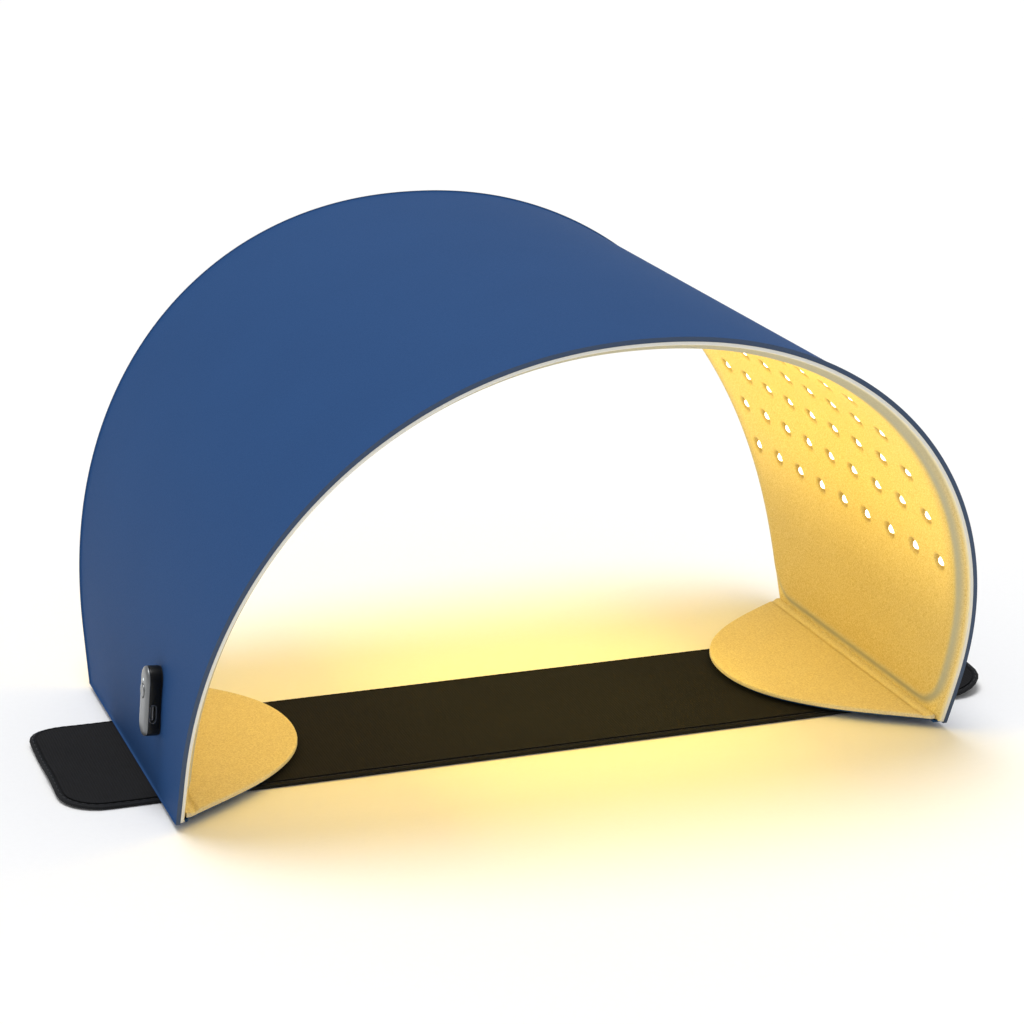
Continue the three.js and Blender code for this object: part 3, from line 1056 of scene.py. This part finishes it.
    def place(
        self, side: Side, bm: BMesh, name: str, finish: Finish, slot: str,
        node: str = "",
    ) -> bpy.types.Object:
        """Bends a flat shape on to one half and dresses it.

        Args:
            side: Which half.
            bm: The flat shape, on the right half.
            name: The piece's name without its side.
            finish: Its finish.
            slot: Its material slot; not used.
            node: The frame's node that it stands for, without its side.

        Returns:
            The piece.
        """
        reshape(bm, lambda co: self.arch.wrap(co * (side.value, 1, 1)))
        nodes = [f"{node}_{side.label}"] if node else []
        if node and side is Side.LEFT:
            nodes.append(f"{node}_crown")
        obj = piece(f"{name}_{side.label}", bm, finish, nodes)
        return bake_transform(obj)

    def build_lining(self, side: Side) -> bpy.types.Object:
        """Builds the lining of one half, with its raised field, dimples and grey rim.

        Args:
            side: Which half.

        Returns:
            The piece.
        """
        end = self.arch.half_arc - self.foot_clear
        near_foot = np.array([0, 0.8, 2, 3.4, 4.6, 5.4, 6.2, 7, 7.8, 8.6, 9.6, 11, 13]) * MM
        even = np.linspace(0, end - 13 * MM, 122)[:-1]
        columns = np.concatenate([[-even[1]], even, (end - near_foot)[::-1]])
        edge_rows = np.array([0, 0.9, 2.6, 3.8, 5.4, 6.6, 7.4, 8.2, 9, 9.8, 10.6, 11.6, 13]) * MM
        bm = flat_blank(columns, self.arch.half_depth(columns), edge_rows, 104)
        thicken(bm)
        dimpled = set()
        for face in bm.faces:
            middle = face.calc_center_median()
            if middle.z < 0.1:
                near = self.lamp_distance(np.array([middle.x]), np.array([middle.y]))[0]
                if near < self.dimple_radius + 1.2 * MM:
                    dimpled.update(face.edges)
        bmesh.ops.subdivide_edges(bm, edges=list(dimpled), cuts=1, use_grid_fill=True)
        rims = set_heights(bm, self.lining_face, self.lining_reverse)
        round_edges(bm, rims, self.rim_radius)
        mark(bm, "rim", lambda u, y, z: 1 - smooth(self.from_edge(u, y), 0.5 * MM, 1.8 * MM))
        # Painted shade on the field's step and on the margin near the crown.
        mark(bm, "step", lambda u, y, z: self.border(u, y))
        # Painted shade in the dimples and on the field below the LEDs.
        mark(bm, "painted_shade", lambda u, y, z: np.maximum(self.painted_shade(u, y), self.unlit_shade(u, y)))
        mark(bm, "lit", lambda u, y, z: self.lit(u, y))
        trim_start(bm)
        return self.place(side, bm, "lining_sheet", LINING, "lining", "lining")

    def build_lenses(self, side: Side) -> bpy.types.Object:
        """Builds the clear lens in each dimple of one half.

        Args:
            side: Which half.

        Returns:
            The piece.
        """
        profile = [(0.86, 4.0), (1, 4.15), (1, 4.8), (0.88, 5.4), (0.58, 5.85), (0.2, 6.05)]
        ring = circle_ring(self.lens_radius, 12)
        bm = lofted([at_height(ring * share, -depth * MM) for share, depth in profile])
        repeat(bm, [Matrix.Translation((row, column, 0)) for row, column in self.led_places()])
        return self.place(side, bm, "led_lenses", LENS, "led_lens")

    def build_hem(self, side: Side) -> bpy.types.Object:
        """Builds the skin's turned-in hem, which closes the foot of one wall.

        Args:
            side: Which half.

        Returns:
            The piece.
        """
        x = self.arch.half_span
        z = self.arch.base
        profile = np.array([
            (x - 0.1 * MM, z + 0.6 * MM), (x - 0.35 * MM, z + 0.2 * MM), (x - 0.9 * MM, z),
            (x - 5.2 * MM, z), (x - 5.5 * MM, z + 0.25 * MM), (x - 5.5 * MM, z + 0.75 * MM),
            (x - 5.2 * MM, z + 1.0 * MM), (x - 1.3 * MM, z + 1.0 * MM)])
        half = self.arch.foot_half_depth - 2.2 * MM
        ends = [(-half, 0.82), (-half + 0.3 * MM, 1), (half - 0.3 * MM, 1), (half, 0.82)]
        middle = profile.mean(0)
        rings = []
        for y, share in ends:
            section = middle + (profile - middle) * share
            rings.append(np.column_stack([
                side.value * section[:, 0], np.full(len(section), y), section[:, 1]]))
        obj = piece(f"foot_hem_{side.label}", lofted(rings), SKIN)
        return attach(obj, f"{side.label}_side")

    def build(self) -> None:
        """Builds both halves."""
        for side in Side:
            for layer in self.layers():
                self.build_layer(side, layer)
            self.build_lining(side)
            self.build_lenses(side)
            self.build_hem(side)


# ---------------------------------------------------------------- flaps


@dataclass(frozen=True)
class Flaps:
    """The two rounded flaps that fold in over the strap's ends, with their hook tape."""

    arch: Arch
    fold: float = 184.3 * MM
    hinge: float = 1.9 * MM
    half_inset: float = 2 * MM
    near_x: float = 0.33
    near_y: float = 0.81
    tip_y: float = 0.57
    groove: float = 0.9 * MM
    groove_width: float = 1.5 * MM
    groove_place: float = 2.6 * MM
    bend_from: float = 185.4 * MM
    bend_to: float = 180.4 * MM
    top: float = 7.2 * MM
    pad_corner: float = 8 * MM

    @property
    def reach(self) -> float:
        """Length of a flap from its fold, from the frame."""
        return self.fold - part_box("flap_lining_right")[0].x

    def ring(self, inset: float) -> np.ndarray:
        """The flap's outline, x from the fold towards the middle.

        Args:
            inset: How far inside its edge.

        Returns:
            The points of a closed ring.
        """
        reach = self.reach - inset
        half = self.arch.foot_half_depth - self.half_inset - inset
        t = np.linspace(0, 1, 25)[:, None]
        corners = np.array([
            (0, -half), (reach * self.near_x, -half * self.near_y),
            (reach, -half * self.tip_y), (reach, 0)])
        weights = np.hstack([(1 - t) ** 3, 3 * t * (1 - t) ** 2, 3 * t ** 2 * (1 - t), t ** 3])
        low = weights @ corners
        high = low[::-1][1:] * (1, -1)
        back = np.array([(-self.hinge, half), (-self.hinge, half / 2), (-self.hinge, 0),
                         (-self.hinge, -half / 2), (-self.hinge, -half)])
        return np.vstack([low, high, back])

    def crease(self, co: np.ndarray) -> np.ndarray:
        """Presses the fold's soft groove into the top face.

        Args:
            co: Places on the sheet as (n, 3).

        Returns:
            The pressed places.
        """
        inward = self.fold - np.abs(co[:, 0])
        share = np.exp(-((inward - self.groove_place) / self.groove_width) ** 2)
        top = smooth(co[:, 2], 6.2 * MM, 7.1 * MM)
        return co - np.column_stack([np.zeros((len(co), 2)), share * top * self.groove])

    def solid(self, side: Side, steps: Sequence[tuple[float, float]]) -> BMesh:
        """A flap's sheet, cut into narrow strips where it bends at the fold.

        Args:
            side: Which half.
            steps: The outline's (inset, height) from the bottom up, in millimetres.

        Returns:
            The sheet in its place.
        """
        bm = lofted([at_height(self.ring(inset * MM), z * MM) for inset, z in steps])
        for x in np.linspace(-1.2, 6.5, 15) * MM:
            bmesh.ops.bisect_plane(bm, geom=everything(bm), plane_co=(x, 0, 0), plane_no=(1, 0, 0))
        reshape(bm, lambda co: np.column_stack(
            [side.value * (self.fold - co[:, 0]), co[:, 1], co[:, 2]]))
        return bm

    def hang(self, obj: bpy.types.Object) -> bpy.types.Object:
        """Bakes a sheet's place into its mesh.

        Args:
            obj: The sheet.

        Returns:
            The same sheet.
        """
        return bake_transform(obj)

    def build_tape(self, side: Side) -> bpy.types.Object:
        """Builds the hook tape under one flap.

        Args:
            side: Which half.

        Returns:
            The piece.
        """
        low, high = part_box(f"hook_pad_{side.label}")
        size, middle = high - low, (low + high) / 2
        rings = []
        for inset, z in [(0.5, low.z + 0.1 * MM), (0, low.z + 0.25 * MM),
                         (0, high.z - 0.1 * MM), (0.3, high.z)]:
            ring = rectangle_ring(
                size.x - 2 * inset * MM, size.y - 2 * inset * MM, self.pad_corner)
            rings.append(at_height(ring + (middle.x, middle.y), z))
        tape = piece(f"hook_tape_{side.label}", lofted(rings), HOOK,
                     [f"hook_pad_{side.label}"])
        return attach(tape, f"{side.label}_flap")

    def build(self) -> None:
        """Builds both flaps."""
        for side in Side:
            bm = self.solid(side, [(1.2, 5.0), (0.3, 5.0), (0, 5.3), (0, 6.4), (0.14, 6.8),
                                   (0.42, 7.08), (0.85, 7.2), (1.4, 7.2)])
            mark(bm, "rim", lambda x, y, z: 0.42 - 0.2 * smooth(z, 6.3 * MM, 7.15 * MM))
            reshape(bm, self.crease)
            self.hang(piece(f"flap_lining_sheet_{side.label}", bm, LINING,
                                  [f"flap_lining_{side.label}"]))
            bm = self.solid(side, [(1.8, 3.9), (1.2, 4.1), (1, 4.5), (1.1, 4.85), (1.6, 4.95)])
            self.hang(piece(f"flap_skin_{side.label}", bm, SKIN,
                                  [f"flap_cover_{side.label}"]))
            self.build_tape(side)


# ---------------------------------------------------------------- strap


@dataclass(frozen=True)
class Strap:
    """The flat black strap: a neoprene band with bound, stitched edges and a loop face."""

    corner: float = 20 * MM
    thickness: float = 1.7 * MM
    band_inset: float = 1.2 * MM
    pile_inset: float = 3.1 * MM
    thread_radius: float = 0.22 * MM
    binding_width: float = 2.6 * MM
    stitch_spacing: float = 4 * MM
    lift_start: float = 200 * MM
    lift_right: float = 6 * MM
    lift_left: float = 0.9 * MM

    @property
    def size(self) -> Vector:
        """The band's length and width, from the frame."""
        low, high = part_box("strap_core")
        return high - low

    @property
    def forward(self) -> float:
        """How far the band's middle lies in front of the arch's, from the frame."""
        low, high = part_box("strap_core")
        return -(low.y + high.y) / 2

    def outline(self, inset: float) -> np.ndarray:
        """The band's rounded outline, inset, as (n, 2)."""
        return rectangle_ring(
            self.size.x - 2 * inset, self.size.y - 2 * inset, self.corner - inset, 10)

    def lie(self, co: np.ndarray) -> np.ndarray:
        """Lets the flat strap ripple a little and lift at its free ends.

        Args:
            co: Places on the flat strap as (n, 3).

        Returns:
            The places as it lies.
        """
        x, y = co[:, 0], co[:, 1]
        ripple = 0.09 * MM * (np.sin(x / (17 * MM) + 1.3 * np.sin(y / (23 * MM)))
                              + np.sin(x / (41 * MM) - y / (19 * MM)) + 2)
        ripple = ripple * smooth(self.lift_start - np.abs(x), -10 * MM, 20 * MM)
        past = np.clip((np.abs(x) - self.lift_start) / (self.size.x / 2 - self.lift_start), 0, 1)
        lift = np.where(x > 0, self.lift_right, self.lift_left) * past ** 2
        pleat = 0.55 * MM * past * (1 + np.sin(y / (8 * MM) + x / (15 * MM)))
        return np.column_stack([x, y - self.forward, co[:, 2] + 0.35 * ripple + lift + pleat])

    def sheet(self, inset: float, bottom: float, top: float, radius: float) -> BMesh:
        """A rounded rectangle of cloth between two heights.

        Args:
            inset: How far inside the band's edge.
            bottom: Its lower height.
            top: Its upper height.
            radius: Radius of its edges.

        Returns:
            The sheet, lying in place.
        """
        half, corner = self.size.x / 2 - inset, self.corner - inset
        turn = np.sin(np.linspace(0, math.pi / 2, 9))
        end = half - corner + corner * turn
        columns = np.concatenate([-end[::-1], np.linspace(corner - half, half - corner, 111)[1:-1],
                                  end])
        over = np.clip(np.abs(columns) - (half - corner), 0, corner)
        halves = self.size.y / 2 - inset - corner + np.sqrt(np.maximum(corner ** 2 - over ** 2, 0))
        bm = flat_blank(columns, halves, (0, 1.5 * MM), 22)
        thicken(bm)
        rims = set_heights(bm, lambda u, y: np.full(len(u), top),
                           lambda u, y: np.full(len(u), bottom))
        round_edges(bm, rims, radius, 2)
        reshape(bm, self.lie)
        return bm

    def binding(self) -> BMesh:
        """The tape folded round the band's edge.

        Returns:
            Its shape, lying in place.
        """
        wide = self.binding_width / MM
        steps = [(wide, 1.72), (wide - 0.15, 1.98), (1.3, 2.02), (0.35, 1.75), (0, 1.1),
                 (0.35, 0.3), (1.3, 0.04), (wide, 0.04)]
        bm = lofted([at_height(spread_ring(self.outline(inset * MM), 240), z * MM)
                     for inset, z in steps], closed=True)
        reshape(bm, self.lie)
        return bm

    def stitches(self) -> BMesh:
        """The row of stitches that holds the binding.

        Returns:
            All the stitches, lying in place.
        """
        line = spread_ring(self.outline(self.binding_width - 0.9 * MM),
                           spacing=self.stitch_spacing)
        section = circle_ring(self.thread_radius, 6)
        bm = lofted([np.column_stack([np.full(6, x * MM), section * share])
                     for x, share in [(-1.25, 0.3), (-0.9, 1), (0.9, 1), (1.25, 0.3)]])
        ahead = np.roll(line, -1, axis=0) - line
        repeat(bm, [Matrix.Translation((x, y, 2.1 * MM)) @ Matrix.Rotation(
            math.atan2(dy, dx), 4, "Z") for (x, y), (dx, dy) in zip(line, ahead)])
        reshape(bm, self.lie)
        return bm

    def build(self) -> None:
        """Builds the strap."""
        band = piece(
            "strap_band", self.sheet(self.band_inset, 0.1 * MM, self.thickness, 0.3 * MM),
            NEOPRENE, ["strap_core"])
        binding = piece("strap_binding", self.binding(), BINDING, sharp=60)
        thread = piece("strap_stitching", self.stitches(), THREAD)
        face = piece(
            "strap_loop_pile", self.sheet(self.pile_inset, 1.75 * MM, 2.35 * MM, 0.25 * MM),
            LOOP, ["strap_loop_face"])
        for part in (band, binding, thread, face):
            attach(part, "strap")


# ---------------------------------------------------------------- control pod


@dataclass(frozen=True)
class Pod:
    """The control pod on the left wall, in its own frame: x to the front, y up, z outwards."""

    arch: Arch
    width: float = 13 * MM
    height: float = 33 * MM
    above_floor: float = 49.5 * MM
    from_centre: float = 57.5 * MM
    socket_y: float = -4.3 * MM
    socket_z: float = 3.7 * MM
    button_y: float = 5 * MM
    light_y: float = 10.3 * MM
    waist_y: float = -3.4 * MM
    waist_depth: float = 0.55 * MM

    @property
    def distance(self) -> float:
        """The pod's place along the arch."""
        return -(self.arch.half_arc - (self.above_floor - self.arch.base))

    @functools.cached_property
    def frame(self) -> Matrix:
        """Where the pod's own frame is in the object's."""
        point, along, outward = (row[0] for row in self.arch.at(np.array([self.distance])))
        return Matrix((
            (0, along[0], outward[0], point[0]), (-1, 0, 0, -self.from_centre),
            (0, along[1], outward[1], point[1]), (0, 0, 0, 1)))

    def wall_drop(self, y: np.ndarray) -> np.ndarray:
        """Height of the curved wall under the pod, below its own flat plane.

        Args:
            y: Places up the pod.

        Returns:
            The heights.
        """
        points, _, _ = self.arch.at(self.distance + y)
        origin, out = self.frame.translation, self.frame.col[2]
        return (points[:, 0] - origin.x) * out.x + (points[:, 1] - origin.z) * out.z

    def capsule(self, inset: float, z: float | np.ndarray) -> np.ndarray:
        """The pod's outline, inset, at a height."""
        return at_height(stadium_ring(self.width - 2 * inset, self.height - 2 * inset, 64), z)

    def disc(self, y: float, steps: Sequence[tuple[float, float]]) -> BMesh:
        """A round solid at a height up the pod, through (radius, z) steps in millimetres."""
        return lofted([at_height(circle_ring(r * MM, 40) + (0, y), z * MM) for r, z in steps])

    def slot(self, steps: Sequence[tuple[float, float, float]]) -> BMesh:
        """A stadium solid along the socket's axis.

        Args:
            steps: Its (width, height, x) from one end to the other, in millimetres.

        Returns:
            The solid.
        """
        rings = []
        for across, high, x in steps:
            ring = stadium_ring(high * MM, across * MM, 40)
            rings.append(np.column_stack([
                np.full(len(ring), x * MM), ring[:, 1] + self.socket_y, ring[:, 0] + self.socket_z]))
        return lofted(rings)

    def shell(self) -> BMesh:
        """The dark body: a hollow capsule with the socket's opening in its front side.

        Returns:
            Its shape in the pod's frame.
        """
        base = self.capsule(0.12 * MM, 0)
        rings = [at_height(base[:, :2], 0.72 * MM + self.wall_drop(base[:, 1]))]
        for inset, z in [(0, 1.0), (0, 4.9), (0.06, 5.25), (0.22, 5.5), (0.5, 5.6), (0.9, 5.6)]:
            rings.append(self.capsule(inset * MM, z * MM))
        hollow = lofted([self.capsule(1.1 * MM, 2 * MM), self.capsule(1.1 * MM, 6.5 * MM)])
        opening = self.slot([(9.1, 3.3, 0.5), (9.1, 3.3, 6.1), (9.5, 3.45, 6.7)])
        return cut(lofted(rings), [hollow, opening])

    def face(self) -> BMesh:
        """The silver face, drawn in at its waist, with holes for the button and the light.

        Returns:
            Its shape in the pod's frame.
        """
        rings = []
        for inset, z in [(0.3, 5.62), (0.08, 5.68), (0.04, 5.9), (0.12, 6.2), (0.34, 6.52),
                         (0.7, 6.82), (1.2, 7.07), (1.85, 7.26), (2.6, 7.37), (3.4, 7.42),
                         (4.4, 7.44), (5.6, 7.45), (6.2, 7.45)]:
            ring = self.capsule(inset * MM, z * MM)
            waist = np.exp(-((ring[:, 1] - self.waist_y) / (3.6 * MM)) ** 2)
            ring[:, 2] -= self.waist_depth * waist * max(z - 5.8, 0) / 1.65
            rings.append(ring)
        return cut(lofted(rings), [
            self.disc(self.button_y, [(3.5, 5), (3.5, 8)]),
            self.disc(self.light_y, [(0.85, 5), (0.85, 8)])])

    def put(
        self, name: str, bm: BMesh, finish: Finish, node: str,
        body: str = "left_side",
    ) -> None:
        """Moves a shape from the pod's frame to its place and dresses it.

        Args:
            name: The piece's name.
            bm: Its shape in the pod's frame.
            finish: Its finish.
            node: The frame's node that it stands for.
            body: The body that it rides on.
        """
        bmesh.ops.transform(bm, matrix=self.frame, verts=bm.verts)
        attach(piece(name, bm, finish, [node], sharp=32), body)

    def build(self) -> None:
        """Builds the pod and dresses the parts inside it."""
        self.put("pod_shell", self.shell(), HOUSING, "pod_base")
        self.put("pod_face", self.face(), CAP, "pod_cap")
        button = self.disc(self.button_y, [
            (4.1, 4.9), (4.2, 5.0), (4.2, 5.35), (2.9, 5.4), (2.9, 5.72), (3.3, 5.76),
            (3.3, 7.4), (3.2, 7.72), (2.95, 7.9), (2.6, 7.98), (2.1, 7.93), (1.3, 7.83),
            (0.5, 7.79)])
        self.put("pod_button", button, BUTTON, "power_button", "power_button")
        socket = self.slot([(8.34, 2.56, -0.1), (8.34, 2.56, 6.1), (8.5, 2.72, 6.26),
                            (8.8, 3.02, 6.26), (8.94, 3.16, 6.1), (8.94, 3.16, -0.7)])
        self.put("usb_socket_sleeve", socket, STEEL, "usb_socket_shell")
        tongue = self.slot([(6.2, 0.5, 0.1), (6.7, 0.7, 0.3), (6.7, 0.7, 4.9), (6.4, 0.5, 5.2)])
        self.put("usb_socket_blade", tongue, TONGUE, "usb_socket_tongue")
        kept = {
            "pod_gasket": FOAM, "pod_circuit_board": BOARD_GREEN, "power_switch": STEEL,
            "status_light_pipe": ACRYLIC, "pod_backing_plate": STEEL, "pod_screw_top": ZINC,
            "pod_screw_bottom": ZINC, "pod_ribbon_cable": FILM,
        }
        for name, finish in kept.items():
            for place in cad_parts[name].material_slots:
                place.material = made(finish)
            LOG.info("%s: kept from the frame, %s", name, finish.name)


# ---------------------------------------------------------------- studio


@dataclass(frozen=True)
class Lamp:
    """One soft area light."""

    name: str
    place: tuple[float, float, float]
    target: tuple[float, float, float]
    size: tuple[float, float]
    power: float
    colour: str

    def build(self) -> None:
        """Hangs the light, unseen by the camera and in reflections."""
        data = bpy.data.lights.new(self.name, "AREA")
        data.shape = "RECTANGLE"
        data.size, data.size_y = self.size
        data.energy = self.power
        data.color = linear(self.colour)[:3]
        obj = stand(self.name, data)
        obj.location = self.place
        aim = Vector(self.target) - Vector(self.place)
        obj.rotation_euler = aim.to_track_quat("-Z", "Y").to_euler()
        obj.visible_camera = False
        obj.visible_glossy = False


@dataclass(frozen=True)
class Studio:
    """The camera, the pale floor and the lights."""

    azimuth: float = -19.98
    elevation: float = 17.73
    roll: float = 0.55
    distance: float = 1.394
    focal: float = 101.4
    target: tuple[float, float, float] = (-0.001, 0.0, 0.102)
    world: float = 0.52
    overhead: float = 1.85
    overhead_from: tuple[float, float, float] = (-0.14, 0.05, 1.0)
    overhead_softness: float = 34.0

    def camera(self) -> None:
        """Puts the camera to the front left, looking a little down."""
        turn, rise = math.radians(self.azimuth), math.radians(self.elevation)
        away = Vector((math.sin(turn) * math.cos(rise), -math.cos(turn) * math.cos(rise),
                       math.sin(rise)))
        data = bpy.data.cameras.new("camera")
        data.lens = self.focal
        data.clip_start = 0.02
        obj = stand("camera", data)
        look = (-away).to_track_quat("-Z", "Y").to_matrix().to_4x4()
        place = Matrix.Translation(Vector(self.target) + away * self.distance)
        obj.matrix_world = place @ look @ Matrix.Rotation(math.radians(self.roll), 4, "Z")
        bpy.context.scene.camera = obj

    def build(self) -> None:
        """Builds the studio."""
        scene = bpy.context.scene
        scene.view_settings.view_transform = "Standard"
        self.camera()
        bm = bmesh.new()
        bmesh.ops.create_grid(bm, x_segments=8, y_segments=8, size=9.0)
        floor = as_object("floor", bm)
        floor.data.materials.append(made(PAPER))
        world = bpy.data.worlds.new("studio")
        world.use_nodes = True
        sky = world.node_tree.nodes["Background"].inputs
        sky["Color"].default_value = (1, 1, 1, 1)
        sky["Strength"].default_value = self.world
        scene.world = world
        amber = "#FFE962"
        for lamp in (
            Lamp("crown_glow", (0, 0, 0.2), (0, 0, 0), (0.14, 0.2), 0.045, amber),
            Lamp("left_glow", (-0.11, 0, 0.15), (0.19, 0, 0.21), (0.2, 0.06), 0.27, amber),
            Lamp("right_glow", (0.13, 0, 0.12), (-0.19, 0, 0.12), (0.2, 0.06), 0.125, amber),
        ):
            lamp.build()
        data = bpy.data.lights.new("overhead", "SUN")
        data.energy = self.overhead
        data.angle = math.radians(self.overhead_softness)
        aim = -Vector(self.overhead_from)
        stand("overhead", data).rotation_euler = aim.to_track_quat("-Z", "Y").to_euler()


# ---------------------------------------------------------------- all of it


def main() -> None:
    """Builds the mask and its studio."""
    logging.basicConfig(level=logging.INFO, format="%(name)s %(message)s")
    Studio().build()
    arch = Arch.from_frame()
    Panel(arch).build()
    Flaps(arch).build()
    Strap().build()
    Pod(arch).build()


if __name__ == "__main__":
    main()
